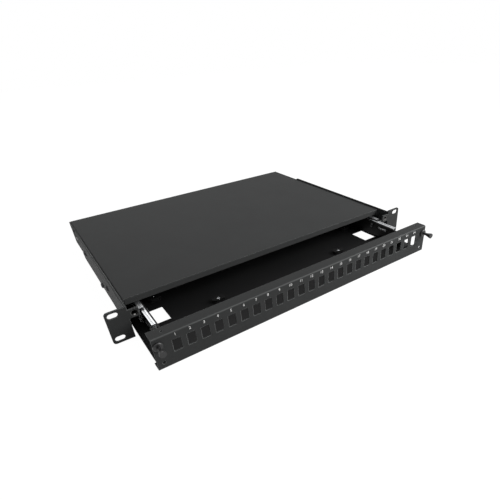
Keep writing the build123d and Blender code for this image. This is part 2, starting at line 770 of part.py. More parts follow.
def make_splice_cassette():
    """Shallow tray with rounded corners, fibre entries, routing islands and four feet."""
    middle = (0, back(cassette_middle_back))
    foot_x = cassette_width / 2 - cassette_foot_inset
    foot_y = cassette_depth / 2 - cassette_foot_inset
    with BuildPart() as cassette:
        with BuildSketch(level(cassette_bottom)):
            with Locations(middle):
                RectangleRounded(cassette_width, cassette_depth, cassette_corner)
        extrude(amount=cassette_height)
        with BuildSketch(level(cassette_bottom + cassette_wall)):
            with Locations(middle):
                RectangleRounded(cassette_width - 2 * cassette_wall, cassette_depth - 2 * cassette_wall,
                                 cassette_corner - cassette_wall)
        extrude(amount=cassette_height - cassette_wall, mode=Mode.SUBTRACT)
        with BuildSketch(level(cassette_bottom + cassette_wall)):
            with Locations(middle):
                Circle(cassette_boss_radius)
        extrude(amount=cassette_height - cassette_wall)
        with BuildSketch(level(cassette_bottom + cassette_wall)):
            for s in sides.values():
                with Locations((s * island_x, middle[1])):
                    Circle(island_radius)
                    Circle(island_radius - cassette_wall, mode=Mode.SUBTRACT)
            with Locations(middle):
                Rectangle(cassette_width, comb_depth, mode=Mode.INTERSECT)
        extrude(amount=island_height)
        entry_x = cassette_width / 2 - cassette_entry_inset
        with BuildSketch(level(cassette_bottom + cassette_wall)):
            with Locations(middle):
                with GridLocations(2 * entry_x, 0, 2, 1):
                    Rectangle(cassette_entry, cassette_depth)
                Rectangle(2 * entry_x + cassette_entry, cassette_depth - 4 * cassette_wall,
                          mode=Mode.SUBTRACT)
        extrude(amount=cassette_height - cassette_wall, mode=Mode.SUBTRACT)
        with BuildSketch(level(tray_top)):
            with Locations(middle):
                with GridLocations(2 * foot_x, 2 * foot_y, 2, 2):
                    Circle(cassette_foot_radius)
        extrude(amount=cassette_foot_height)
        with BuildSketch(level(cassette_bottom)):
            with Locations(middle):
                Circle(stud_radius + screw_hole_clearance)
        extrude(amount=cassette_height, mode=Mode.SUBTRACT)
    finish(cassette.part, "splice_cassette")


def make_splice_combs():
    """Rubber combs that hold the splice sleeves, one in each half of the cassette."""
    with BuildPart() as combs:
        with BuildSketch(level(cassette_bottom + cassette_wall)):
            with Locations((0, back(cassette_middle_back))):
                with GridLocations(2 * island_x, 0, 2, 1):
                    Rectangle(comb_width, comb_depth)
        extrude(amount=comb_height)
        with BuildSketch(level(cassette_bottom + cassette_wall + comb_height)):
            with Locations((0, back(cassette_middle_back))):
                with GridLocations(2 * island_x, 0, 2, 1):
                    with GridLocations(comb_pitch, 0, comb_grooves, 1):
                        Rectangle(comb_groove, comb_depth)
        extrude(amount=-comb_height / 2, mode=Mode.SUBTRACT)
    finish(combs.part, "splice_combs")


def make_cassette_lid():
    """Clear lid with finger notches, held down by the nut."""
    middle = (0, back(cassette_middle_back))
    with BuildPart() as lid:
        with BuildSketch(level(cassette_top)):
            with Locations(middle):
                RectangleRounded(cassette_width, cassette_depth, cassette_corner)
                Circle(stud_radius + screw_hole_clearance, mode=Mode.SUBTRACT)
                with GridLocations(cassette_width, 0, 2, 1):
                    Circle(lid_notch_radius, mode=Mode.SUBTRACT)
        extrude(amount=lid_sheet)
    finish(lid.part, "cassette_lid")


def make_cassette_fixing():
    """Stud on the tray floor and the nut that clamps lid and cassette."""
    middle = (0, back(cassette_middle_back))
    top = cassette_top + lid_sheet
    with BuildPart() as stud:
        with BuildSketch(level(tray_top)):
            with Locations(middle):
                Circle(stud_radius)
        extrude(amount=top + stud_top_above_lid - tray_top)
    finish(stud.part, "cassette_stud")
    with BuildPart() as nut:
        with BuildSketch(level(top)):
            with Locations(middle):
                RegularPolygon(nut_radius, 6)
                Circle(stud_radius + fit_clearance, mode=Mode.SUBTRACT)
        extrude(amount=nut_height)
    finish(nut.part, "cassette_nut")


def spool_screw_points():
    """Both spools' screw centres on the tray."""
    return [(s * spool_x + across, back(spool_back)) for s in sides.values()
            for across in (-spool_screw_offset, spool_screw_offset)]


def make_fibre_spool(name, s):
    """Bend-radius spool: a ring wall on an inner foot, with four petals round its top."""
    centre = (s * spool_x, back(spool_back))
    inner = spool_radius - spool_wall
    petal_length = petal_reach + spool_wall
    petal_middle = inner + petal_length / 2
    with BuildPart() as spool:
        with BuildSketch(level(tray_top)):
            with Locations(centre):
                Circle(spool_radius)
                Circle(inner, mode=Mode.SUBTRACT)
        extrude(amount=spool_height)
        with BuildSketch(level(tray_top)):
            with Locations(centre):
                Circle(inner + spool_wall / 2)
                Circle(inner - spool_foot_width, mode=Mode.SUBTRACT)
            with Locations(*[p for p in spool_screw_points() if p[0] * s > 0]):
                Circle(m3_screw[0] + screw_hole_clearance, mode=Mode.SUBTRACT)
        extrude(amount=spool_foot_sheet)
        with BuildSketch(level(tray_top + spool_height - petal_sheet)):
            with Locations(centre):
                for angle in petal_angles:
                    with PolarLocations(petal_middle, 1, start_angle=angle):
                        RectangleRounded(petal_length, petal_width, petal_corner)
                Circle(inner, mode=Mode.SUBTRACT)
        extrude(amount=petal_sheet)
    finish(spool.part, name)


def make_spool_screws():
    """Screws that hold the spools' feet to the tray."""
    screw = pan_screw(m3_screw, spool_foot_sheet + tray_sheet)
    seats = [Plane(origin=place(x, y, tray_top + spool_foot_sheet)) for x, y in spool_screw_points()]
    screw_group("spool_screws", screw, seats)


def saddle_points():
    """Centres of the tie saddles on the tray."""
    return [(s * (rail_inner - inset), back(y)) for s in sides.values() for inset, y in saddle_places]


def make_tie_saddles():
    """Low blocks with a tunnel each side of the screw for cable ties."""
    head_seat = tray_top + saddle_height - m3_screw[2]
    with BuildPart() as saddles:
        with BuildSketch(level(tray_top)):
            with Locations(*saddle_points()):
                RectangleRounded(saddle_length, saddle_width, saddle_corner)
                Circle(m3_screw[0] + screw_hole_clearance, mode=Mode.SUBTRACT)
        extrude(amount=saddle_height)
        with BuildSketch(level(head_seat)):
            with Locations(*saddle_points()):
                Circle(m3_screw[1] + screw_hole_clearance)
        extrude(amount=saddle_height, mode=Mode.SUBTRACT)
        for x, y in saddle_points():
            with BuildSketch(upright(y)):
                with Locations((x, tray_top + saddle_height / 2)):
                    with GridLocations(2 * saddle_tunnel_x, 0, 2, 1):
                        Rectangle(saddle_tunnel_width, saddle_tunnel_height)
            extrude(amount=saddle_width, both=True, mode=Mode.SUBTRACT)
    finish(saddles.part, "tie_saddles")


def make_saddle_screws():
    """Screws that hold the tie saddles to the tray."""
    seat = tray_top + saddle_height - m3_screw[2]
    screw = pan_screw(m3_screw, seat - tray_floor_bottom)
    screw_group("saddle_screws", screw, [Plane(origin=place(x, y, seat)) for x, y in saddle_points()])


def entry_plane(x, y):
    """Plane square to a cable entry at this depth, facing out of the rear."""
    return Plane(origin=place(x, y, entry_z), x_dir=(1, 0, 0), z_dir=(0, 1, 0))


def make_gland(side, s):
    """Cable gland: threaded body, clamping cap, rubber seal and locknut."""
    x = s * gland_x
    flange_end = rear_wall_outer + gland_flange
    neck_end = flange_end + gland_neck
    cap_start = flange_end + gland_cap_gap
    with BuildPart() as body:
        with BuildSketch(entry_plane(x, rear_wall_inner - gland_tail)):
            Circle(gland_thread_radius)
        extrude(amount=gland_tail + sheet)
        with BuildSketch(entry_plane(x, rear_wall_outer)):
            RegularPolygon(gland_hex / 2, 6, major_radius=False)
        extrude(amount=gland_flange)
        with BuildSketch(entry_plane(x, flange_end)):
            Circle(gland_neck_radius)
        extrude(amount=gland_neck)
        with BuildSketch(entry_plane(x, rear_wall_inner - gland_tail)):
            Circle(gland_bore_radius)
        extrude(amount=neck_end - rear_wall_inner + gland_tail, mode=Mode.SUBTRACT)
        with BuildSketch(entry_plane(x, neck_end - seal_length)):
            Circle(seal_radius + fit_clearance)
        extrude(amount=seal_length, mode=Mode.SUBTRACT)
    finish(body.part, f"gland_body_{side}")
    with BuildPart() as cap:
        with BuildSketch(entry_plane(x, cap_start)):
            Circle(gland_cap_radius)
        extrude(amount=gland_cap_length)
        chamfer(cap.faces().sort_by(Axis.Y)[-1].edges(), gland_mouth_edge)
        with BuildSketch(entry_plane(x, cap_start)):
            Circle(gland_neck_radius + running_clearance)
        extrude(amount=neck_end - cap_start + gland_cap_gap, mode=Mode.SUBTRACT)
        with BuildSketch(entry_plane(x, cap_start)):
            Circle(gland_bore_radius)
        extrude(amount=gland_cap_length, mode=Mode.SUBTRACT)
    finish(cap.part, f"gland_cap_{side}")
    with BuildPart() as seal:
        with BuildSketch(entry_plane(x, neck_end - seal_length)):
            Circle(seal_radius)
            Circle(seal_bore_radius, mode=Mode.SUBTRACT)
        extrude(amount=seal_length)
    finish(seal.part, f"gland_seal_{side}")
    with BuildPart() as nut:
        with BuildSketch(entry_plane(x, rear_wall_inner - gland_nut)):
            RegularPolygon(gland_hex / 2, 6, major_radius=False)
            Circle(gland_thread_radius + running_clearance, mode=Mode.SUBTRACT)
        extrude(amount=gland_nut)
    finish(nut.part, f"gland_nut_{side}")


def make_blanking_plug(name, s):
    """Hollow plug that closes a spare cable entry."""
    x = s * plug_x
    with BuildPart() as plug:
        with BuildSketch(entry_plane(x, rear_wall_outer)):
            Circle(plug_head_radius)
        extrude(amount=plug_head)
        chamfer(plug.faces().sort_by(Axis.Y)[-1].edges(), plug_head / 2)
        with BuildSketch(entry_plane(x, rear_wall_outer)):
            Circle(gland_thread_radius)
            Circle(gland_thread_radius - plug_wall, mode=Mode.SUBTRACT)
        extrude(amount=-plug_depth)
    finish(plug.part, name)


def make_all():
    """Every piece of the panel, left and right from the same functions."""
    make_chassis()
    make_cover()
    make_cover_screws()
    make_ear_screws()
    make_front_panel()
    make_panel_screws()
    make_fibre_tray()
    make_slide_spacers()
    make_slide_screws()
    make_splice_cassette()
    make_splice_combs()
    make_cassette_lid()
    make_cassette_fixing()
    make_spool_screws()
    make_tie_saddles()
    make_saddle_screws()
    for side, s in sides.items():
        make_ear_bracket(f"ear_bracket_{side}", s)
        make_latch_catch(f"latch_catch_{side}", s)
        make_latch_grommet(f"latch_grommet_{side}", s)
        make_latch_plunger(f"latch_plunger_{side}", s)
        make_tray_rail(f"tray_rail_{side}", s)
        make_slide(side, s)
        make_race("inner", side, s, inner_cage_web, cage_flange_length, inner_ball_x, inner_race_z,
                  inner_cage_share)
        make_race("outer", side, s, outer_cage_web, outer_cage_flange_length, outer_ball_x,
                  outer_race_z, outer_cage_share)
        make_fibre_spool(f"fibre_spool_{side}", s)
        make_gland(side, s)
        make_blanking_plug(f"blanking_plug_{side}", s)


make_all()
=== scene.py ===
"""Sliding fibre patch panel: finishes, port numbers, screws, gland ribs and a plain table."""
import json
import math

import bpy
from bpy.props import FloatProperty, FloatVectorProperty, IntProperty, PointerProperty
from mathutils import Matrix, Vector

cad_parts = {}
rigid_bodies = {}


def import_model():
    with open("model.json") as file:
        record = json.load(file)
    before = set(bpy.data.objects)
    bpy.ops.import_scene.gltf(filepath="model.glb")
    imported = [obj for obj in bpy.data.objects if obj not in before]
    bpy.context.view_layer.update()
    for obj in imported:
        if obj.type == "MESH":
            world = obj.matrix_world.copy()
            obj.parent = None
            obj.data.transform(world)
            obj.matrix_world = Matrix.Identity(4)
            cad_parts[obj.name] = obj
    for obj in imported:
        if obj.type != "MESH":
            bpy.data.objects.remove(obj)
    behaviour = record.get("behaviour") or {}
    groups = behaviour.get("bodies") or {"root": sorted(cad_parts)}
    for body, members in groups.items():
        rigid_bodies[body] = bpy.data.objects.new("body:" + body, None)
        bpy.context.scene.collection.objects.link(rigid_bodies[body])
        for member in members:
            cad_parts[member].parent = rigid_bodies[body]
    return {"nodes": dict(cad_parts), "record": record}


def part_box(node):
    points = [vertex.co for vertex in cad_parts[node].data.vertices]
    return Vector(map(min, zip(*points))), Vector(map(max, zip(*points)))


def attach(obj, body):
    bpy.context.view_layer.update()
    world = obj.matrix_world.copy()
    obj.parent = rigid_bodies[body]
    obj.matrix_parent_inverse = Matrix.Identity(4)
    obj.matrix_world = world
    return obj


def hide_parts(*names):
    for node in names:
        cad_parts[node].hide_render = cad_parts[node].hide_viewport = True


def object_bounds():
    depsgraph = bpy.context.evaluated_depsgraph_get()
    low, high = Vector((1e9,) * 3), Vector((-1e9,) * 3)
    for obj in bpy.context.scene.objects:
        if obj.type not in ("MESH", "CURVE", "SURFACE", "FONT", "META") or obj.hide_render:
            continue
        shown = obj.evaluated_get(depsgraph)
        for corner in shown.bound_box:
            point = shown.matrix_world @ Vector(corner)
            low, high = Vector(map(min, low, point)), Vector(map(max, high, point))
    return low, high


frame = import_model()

bl_info = {
    "name": "Fibre patch panel dresser",
    "version": (1, 0, 0),
    "blender": (4, 5, 0),
    "location": "3D View > Sidebar > Patch panel",
    "description": "Finishes a sliding fibre patch panel and sets it on a plain table",
    "category": "Object",
}

SIDES = ("left", "right")


def both(*pieces):
    """Names of the left and the right piece of each of these pairs."""
    return tuple(f"{piece}_{side}" for piece in pieces for side in SIDES)


CAD_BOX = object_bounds()
NODES = frame["nodes"]
OPENINGS = frame["record"]["physics"]["openings"]
PORT_BOXES = [opening["box_m"] for opening in OPENINGS if opening["name"].startswith("port_")]
PANEL_LOW, PANEL_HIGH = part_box("front_panel")

BODY_COATED = ("chassis", "cover")
FRONT_COATED = ("front_panel", *both("ear_bracket"))
INNER_COATED = ("fibre_tray", *both("tray_rail"))
ZINC_PLATED = ("slide_spacers", "cassette_stud", "cassette_nut", *both("slide_inner"))
# The outer and middle slide members take a darker copy of the zinc, as painted shade where the
# cover shadows them.
SHADE_DARKENED_ZINC = both("slide_outer", "slide_middle")
CAGES = both("inner_cage", "outer_cage")
BALLS = both("inner_balls", "outer_balls")
CATCHES = both("latch_catch")
BLACK_NYLON = both("latch_grommet", "latch_plunger", "blanking_plug", "gland_body", "gland_cap",
                   "gland_nut")
SPOOLS = both("fibre_spool")
RUBBERS = ("splice_combs", *both("gland_seal"))
BLACK_SCREWS = (("cover_screws", "chassis"), ("ear_screws", "chassis"), ("slide_screws", "drawer"),
                ("panel_screws", "drawer"))
BRIGHT_SCREWS = (("spool_screws", "drawer"), ("saddle_screws", "drawer"))

PORTS = 24
FIGURE_SCALE = 1.4            # type size over the height of its figures
# The fine edge radius also sets how wide the painted edge highlight on metal and plastic is.
FINE_EDGE = 0.0003            # radius, in metres, of the edges of metal and plastic pieces
EDGE_GAIN = 4.0               # how fast the edge mask rises as the surface turns
SPANGLES = 260.0              # crystals of zinc per metre
FACING = 0.9                  # least share of a normal along an axis for a face that faces it
CORNER_GRID = 1e6             # steps per metre: corners of a mesh on the same step are one
SCREW_GRID = 1e5              # steps per metre: screws of the same steps share a pattern
RIM_SHARE = 0.98              # share of the widest radius beyond which a point is on the rim
END_DEPTH = 1e-5              # points this many metres from the tip of a screw are on its end
SCREW_TURN = 37.0             # degrees by which each screw's cross is turned from the one before
HEAD_SIDES = 40
CROWN_STEPS = 5
RECESS_TAPER = 0.72           # width of the cross at its bottom over its width at the top
RIB_SIDES = 10
RIB_START = 0.0012            # distance in metres from the cap's edge to its ribs
RIB_INSET = 0.2               # inset of a rib's ends, as a share of its width
RIB_CROWN = 1.06              # how much longer a rib is in the middle of its ends
TABLE_GAP = 0.0002            # metres between the table and the object
TABLE_SHARE = 0.9             # share of plain white in the table that the camera sees
TABLE_GLOW = 1.09             # strength of that white
PICTURE = 500                 # width of the picture in pixels
SENSOR = 36.0                 # width of the camera's sensor in millimetres


class CoatSettings(bpy.types.PropertyGroup):
    """Powder coat of the sheet metal."""
    # The body coat is a paler copy of the front coat's black, as painted light on the cover and
    # its lip.
    body_colour: FloatVectorProperty(
        name="Body coat", description="Colour of the coat on the chassis and its cover",
        subtype="COLOR", size=3, min=0.0, max=1.0, default=(0.042, 0.043, 0.043))
    front_colour: FloatVectorProperty(
        name="Front coat", description="Colour of the coat on the ears and the drawer's panel",
        subtype="COLOR", size=3, min=0.0, max=1.0, default=(0.032, 0.033, 0.033))
    # The tray coat is a much darker copy of the same black, as painted shade in the tray under the
    # cover and behind the panel.
    inner_colour: FloatVectorProperty(
        name="Tray coat", description="Colour of the deeper black on the tray and its rails",
        subtype="COLOR", size=3, min=0.0, max=1.0, default=(0.008, 0.008, 0.0082))
    grain: FloatProperty(
        name="Grain", description="Size of the orange peel in the coat",
        default=0.0009, min=0.0001, max=0.01, unit="LENGTH")
    # Painted highlight: the edge radius and the highlight factor below set how wide and how much
    # paler the coat is painted on edges and folds; the radius also rounds the shading normal.
    edge: FloatProperty(
        name="Edge", description="Radius over which the coat thins and shines on an edge",
        default=0.0007, min=0.0, max=0.003, unit="LENGTH")
    edge_shine: FloatProperty(
        name="Edge shine", description="How many times paler the coat is on edges and folds",
        default=9.0, min=1.0, max=20.0)


class MetalSettings(bpy.types.PropertyGroup):
    """Bright metal of the slides and the small parts."""
    zinc_colour: FloatVectorProperty(
        name="Zinc", description="Colour of the zinc-plated slides",
        subtype="COLOR", size=3, min=0.0, max=1.0, default=(0.50, 0.51, 0.52))
    streak: FloatProperty(
        name="Streak", description="Width of the rolling streaks along the slides",
        default=0.0012, min=0.0001, max=0.01, unit="LENGTH")


class NumberSettings(bpy.types.PropertyGroup):
    """Port numbers printed above the cut-outs."""
    height: FloatProperty(
        name="Height", description="Height of a figure", default=0.0036, min=0.001, max=0.01,
        unit="LENGTH")
    centre_below_top: FloatProperty(
        name="Below the top edge",
        description="Distance from the panel's top edge to the middle of the figures",
        default=0.0042, min=0.001, max=0.02, unit="LENGTH")
    ink: FloatProperty(
        name="Ink", description="Thickness of the print", default=0.00006, min=0.00001, max=0.001,
        unit="LENGTH")


class ScrewSettings(bpy.types.PropertyGroup):
    """Cross recesses of the screws, as shares of the head."""
    recess_span: FloatProperty(
        name="Recess span", description="Length of the cross over the head's width",
        default=0.56, min=0.2, max=0.9, subtype="FACTOR")
    recess_width: FloatProperty(
        name="Recess width", description="Width of an arm of the cross over the head's width",
        default=0.15, min=0.05, max=0.4, subtype="FACTOR")
    recess_depth: FloatProperty(
        name="Recess depth", description="Depth of the cross over the head's height",
        default=0.7, min=0.1, max=0.95, subtype="FACTOR")
    crown: FloatProperty(
        name="Crown", description="Rounding of the head's rim over its height",
        default=0.72, min=0.1, max=0.95, subtype="FACTOR")


class GlandSettings(bpy.types.PropertyGroup):
    """Grip ribs round the glands' caps."""
    ribs: IntProperty(
        name="Ribs", description="Number of ribs round a cap", default=18, min=4, max=48)
    rib_width: FloatProperty(
        name="Rib width", description="Width of a rib", default=0.0016, min=0.0003, max=0.005,
        unit="LENGTH")
    rib_rise: FloatProperty(
        name="Rib rise", description="How far a rib stands out of the cap", default=0.0004,
        min=0.0001, max=0.002, unit="LENGTH")
    rib_length: FloatProperty(
        name="Rib length", description="Length of a rib along the cap", default=0.0095, min=0.001,
        max=0.02, unit="LENGTH")


class TableSettings(bpy.types.PropertyGroup):
    """Camera and table."""
    eye: FloatVectorProperty(
        name="Eye", description="Place of the camera", size=3, default=(-0.2669, -0.4022, 0.2653),
        subtype="TRANSLATION", unit="LENGTH")
    azimuth: FloatProperty(
        name="Azimuth", description="Direction of view, turned from the depth axis to the right",
        default=math.radians(34.78), subtype="ANGLE")
    dip: FloatProperty(
        name="Dip", description="Angle of the view below the horizon", default=math.radians(33.75),
        subtype="ANGLE")
    roll: FloatProperty(
        name="Roll", description="Turn of the camera about its view", default=math.radians(-2.71),
        subtype="ANGLE")
    focal_pixels: FloatProperty(
        name="Focal length", description="Focal length in pixels of the picture", default=384.33,
        min=50.0, max=5000.0)
    centre_x: FloatProperty(
        name="Centre across", description="Column of the picture that the camera points at",
        default=291.73)
    centre_y: FloatProperty(
        name="Centre down", description="Row of the picture that the camera points at",
        default=296.19)
    table_size: FloatProperty(
        name="Table", description="Width of the table top", default=8.0, min=1.0, unit="LENGTH")


class LampSettings(bpy.types.PropertyGroup):
    """Lamps, by their direction from the object, their distance, width and power."""
    front_azimuth: FloatProperty(
        name="Front azimuth",
        description="Direction of the front lamp, turned from the depth axis to the right",
        default=math.radians(131.0), subtype="ANGLE")
    front_height: FloatProperty(
        name="Front height", description="Height of the front lamp above the horizon",
        default=math.radians(28.0), subtype="ANGLE")
    front_distance: FloatProperty(
        name="Front distance", description="Distance of the front lamp from the object",
        default=1.4, min=0.5, unit="LENGTH")
    front_power: FloatProperty(
        name="Front power", description="Power of the front lamp", default=21.0, min=0.0,
        unit="POWER")
    rear_azimuth: FloatProperty(
        name="Rear azimuth",
        description="Direction of the rear lamp, turned from the depth axis to the right",
        default=math.radians(8.0), subtype="ANGLE")
    rear_height: FloatProperty(
        name="Rear height", description="Height of the rear lamp above the horizon",
        default=math.radians(38.0), subtype="ANGLE")
    rear_distance: FloatProperty(
        name="Rear distance", description="Distance of the rear lamp from the object",
        default=2.6, min=0.5, unit="LENGTH")
    rear_power: FloatProperty(
        name="Rear power", description="Power of the rear lamp", default=12.0, min=0.0,
        unit="POWER")
    width: FloatProperty(
        name="Width", description="Width of a lamp, as a share of its distance", default=0.6,
        min=0.05, max=2.0)
    sky: FloatProperty(
        name="Sky", description="Strength of the soft light from the surroundings", default=0.25,
        min=0.0, max=2.0)


SETTINGS = (("coat", CoatSettings), ("metal", MetalSettings), ("numbers", NumberSettings),
            ("screws", ScrewSettings), ("glands", GlandSettings), ("table", TableSettings),
            ("lamps", LampSettings))


def settings(name):
    """One of the groups of settings on the scene."""
    return getattr(bpy.context.scene, f"patch_panel_{name}")


def connect(tree, socket, value):
    """Links a Value to a socket, or writes a plain value on it."""
    if isinstance(value, Value):
        tree.links.new(value.socket, socket)
    else:
        socket.default_value = value


class Value:
    """A shader socket that adds a Math node for each sum, difference or product with it."""

    def __init__(self, tree, socket):
        self.tree = tree
        self.socket = socket

    def combine(self, operation, first, second):
        """Result of a Math node on two values."""
        node = self.tree.nodes.new("ShaderNodeMath")
        node.operation = operation
        connect(self.tree, node.inputs[0], first)
        connect(self.tree, node.inputs[1], second)
        return Value(self.tree, node.outputs[0])

    def __add__(self, other):
        return self.combine("ADD", self, other)

    def __radd__(self, other):
        return self.combine("ADD", other, self)

    def __sub__(self, other):
        return self.combine("SUBTRACT", self, other)

    def __rsub__(self, other):
        return self.combine("SUBTRACT", other, self)

    def __mul__(self, other):
        return self.combine("MULTIPLY", self, other)

    def __rmul__(self, other):
        return self.combine("MULTIPLY", other, self)


class Finish:
    """A material built round one Principled shader."""

    def __init__(self, name):
        self.material = bpy.data.materials.new(name)
        self.material.use_nodes = True
        self.tree = self.material.node_tree
        self.shader = self.tree.nodes["Principled BSDF"]

    def node(self, kind, inputs=None, output=0, **choices):
        """Any node: its settings first, then the values or links of its sockets."""
        made = self.tree.nodes.new(kind)
        for key, value in choices.items():
            setattr(made, key, value)
        for key, value in (inputs or {}).items():
            connect(self.tree, made.inputs[key], value)
        return Value(self.tree, made.outputs[output])

    def set(self, **sockets):
        """Values or links of the shader's own sockets, with spaces written as underscores."""
        for key, value in sockets.items():
            connect(self.tree, self.shader.inputs[key.replace("_", " ")], value)

    def place(self, scale=(1.0, 1.0, 1.0)):
        """Object coordinates, stretched by scale."""
        point = self.node("ShaderNodeTexCoord", output="Object")
        return self.node("ShaderNodeMapping", {"Vector": point, "Scale": scale})

    def noise(self, size, detail, stretch=(1.0, 1.0, 1.0)):
        """Noise from 0 to 1 whose blotches are about this many metres across."""
        return self.node("ShaderNodeTexNoise",
                         {"Vector": self.place(stretch), "Scale": 1.0 / size, "Detail": detail},
                         output="Fac")

    def edge(self, radius):
        """Mask from 0 on flat faces to 1 on edges, and the normal that rounds them."""
        soft = self.node("ShaderNodeBevel", {"Radius": radius}, samples=4)
        true = self.node("ShaderNodeNewGeometry", output="Normal")
        same = self.node("ShaderNodeVectorMath", {0: soft, 1: true}, output="Value",
                         operation="DOT_PRODUCT")
        return (1.0 - same) * EDGE_GAIN, soft

    def bend(self):
        """Mask from 0 on faces square to an axis to 1 on a fold halfway between two axes."""
        true = self.node("ShaderNodeNewGeometry", output="Normal")
        squares = self.node("ShaderNodeVectorMath", {0: true, 1: true}, operation="MULTIPLY")
        fourth = self.node("ShaderNodeVectorMath", {0: squares, 1: squares}, output="Value",
                           operation="DOT_PRODUCT")
        return (1.0 - fourth) * 2.0

    def blend(self, share, dark, light):
        """Colour between two, each a tuple or a Value, by a share that a Value gives."""
        dark, light = [c if isinstance(c, Value) else (*c, 1.0) for c in (dark, light)]
        return self.node("ShaderNodeMix", {0: share, 6: dark, 7: light}, output=2,
                         data_type="RGBA", clamp_factor=True)

    def mottle(self, share, colour, darkest, palest):
        """A colour that a share takes from its darkest to its palest, each as a factor on it."""
        return self.blend(share, tint(colour, darkest), tint(colour, palest))

    def bump(self, height, depth, strength, normal=None):
        """Relief of this many metres from a height of 0 to 1."""
        inputs = {"Height": height, "Distance": depth, "Strength": strength}
        if normal:
            inputs["Normal"] = normal
        return self.node("ShaderNodeBump", inputs)


def tint(colour, factor):
    """A colour made lighter or darker, kept within 0 and 1."""
    return tuple(min(1.0, c * factor) for c in colour)


def swing(mask, span):
    """A mask from 0 to 1 as a change of this span about nothing."""
    return (mask - 0.5) * span


def powder_coat(name, colour, roughness, specular, edges=0.3, folds=0.0):
    """Powder coat: orange peel, faint clouds, and a painted highlight that makes it paler by these
    shares on edges and folds.
    """
    coat = settings("coat")
    finish = Finish(name)
    grain = finish.noise(coat.grain, detail=3.0)
    clouds = finish.noise(0.06, detail=4.0)
    edge, rounded = finish.edge(coat.edge)
    flat = finish.mottle(clouds, colour, 0.88, 1.2)
    finish.set(
        # Painted highlight: the colour turns paler on edges and folds, standing in for the light
        # they catch.
        Base_Color=finish.blend(edge * edges + finish.bend() * folds, flat,
                                tint(colour, coat.edge_shine)),
        Roughness=swing(grain, 0.10) + swing(clouds, 0.06) + roughness,
        Normal=finish.bump(grain, depth=0.00006, strength=0.35, normal=rounded),
        Specular_IOR_Level=specular,
    )
    return finish.material


def zinc_plate(name, colour, roughness):
    """Rolled, zinc-plated steel with streaks along the slide, a little spangle, and a painted
    highlight that makes its edges paler.
    """
    metal = settings("metal")
    finish = Finish(name)
    streaks = finish.noise(metal.streak, detail=3.0, stretch=(1.0, 0.03, 1.0))
    spangle = finish.node("ShaderNodeTexVoronoi", {"Vector": finish.place(), "Scale": SPANGLES},
                          output="Color", feature="F1")
    grey = finish.node("ShaderNodeRGBToBW", {"Color": spangle})
    edge, rounded = finish.edge(FINE_EDGE)
    finish.set(
        # Painted highlight: the edge mask makes the zinc paler on its edges.
        Base_Color=finish.mottle(streaks * 0.55 + grey * 0.3 + edge * 0.4, colour, 0.8, 1.15),
        Metallic=1.0,
        Roughness=swing(streaks, 0.2) + swing(grey, 0.06) + roughness,
        Normal=finish.bump(streaks, depth=0.00002, strength=0.4, normal=rounded),
    )
    return finish.material


def moulded(name, colour, roughness, specular=0.5):
    """Moulded plastic with a fine spark-eroded texture, and a painted highlight that makes its
    edges paler.
    """
    finish = Finish(name)
    pits = finish.noise(0.0006, detail=2.0)
    flow = finish.noise(0.02, detail=2.0)
    edge, rounded = finish.edge(FINE_EDGE)
    finish.set(
        # Painted highlight: the edge mask makes the plastic paler on its edges.
        Base_Color=finish.mottle(flow * 0.6 + edge * 0.6, colour, 0.85, 1.3),
        Roughness=swing(pits, 0.12) + roughness,
        Normal=finish.bump(pits, depth=0.00004, strength=0.3, normal=rounded),
        Specular_IOR_Level=specular,
    )
    return finish.material


def rubber(name, colour):
    """Matt rubber with a dusty bloom."""
    finish = Finish(name)
    bloom = finish.noise(0.004, detail=5.0)
    finish.set(
        Base_Color=finish.mottle(bloom, colour, 0.8, 1.7),
        Roughness=bloom * 0.15 + 0.75,
        Normal=finish.bump(bloom, depth=0.00005, strength=0.25),
    )
    return finish.material


def clear_lid(name):
    """Thin clear polycarbonate, faintly smoked, with fine scratches."""
    finish = Finish(name)
    scratches = finish.noise(0.0008, detail=3.0, stretch=(1.0, 0.05, 1.0))
    clouds = finish.noise(0.03, detail=2.0)
    finish.set(
        Base_Color=finish.blend(clouds, (0.60, 0.63, 0.65), (0.72, 0.75, 0.76)),
        Roughness=scratches * 0.12 + 0.05,
        Alpha=clouds * 0.06 + 0.22,
    )
    finish.material.surface_render_method = "BLENDED"
    return finish.material


def polished(name, colour, roughness):
    """Polished metal with faint turning lines."""
    finish = Finish(name)
    lines = finish.noise(0.0005, detail=2.0)
    finish.set(
        Base_Color=finish.mottle(lines, colour, 0.9, 1.08),
        Metallic=1.0,
        Roughness=lines * 0.08 + roughness,
    )
    return finish.material


def printed_ink(name):
    """White screen print, slightly worn."""
    finish = Finish(name)
    wear = finish.noise(0.0007, detail=3.0)
    finish.set(
        Base_Color=finish.blend(wear, (0.72, 0.72, 0.71), (0.86, 0.86, 0.85)),
        Roughness=wear * 0.1 + 0.5,
    )
    return finish.material


def paint(piece, material):
    """Gives a piece this material alone."""
    piece.data.materials.clear()
    piece.data.materials.append(material)


def dress(names, material):
    """Gives CAD nodes one material."""
    missing = [name for name in names if name not in NODES]
    if missing:
        raise RuntimeError(f"no such CAD nodes: {missing}")
    for name in names:
        paint(NODES[name], material)


def must(result, task):
    """Stops the script where an operator didn't finish its task."""
    if "FINISHED" not in result:
        raise RuntimeError(f"{task} didn't finish")


def deselect():
    """Leaves nothing selected."""
    for thing in bpy.context.view_layer.objects:
        thing.select_set(False)


def activate(*things):
    """Selects these objects alone, with the first one active."""
    deselect()
    for thing in things:
        thing.select_set(True)
    bpy.context.view_layer.objects.active = things[0]


def choose(piece, test):
    """Selects the faces of a piece that pass the test."""
    mesh = piece.data
    mesh.vertices.foreach_set("select", [False] * len(mesh.vertices))
    mesh.edges.foreach_set("select", [False] * len(mesh.edges))
    mesh.polygons.foreach_set("select", [test(face) for face in mesh.polygons])


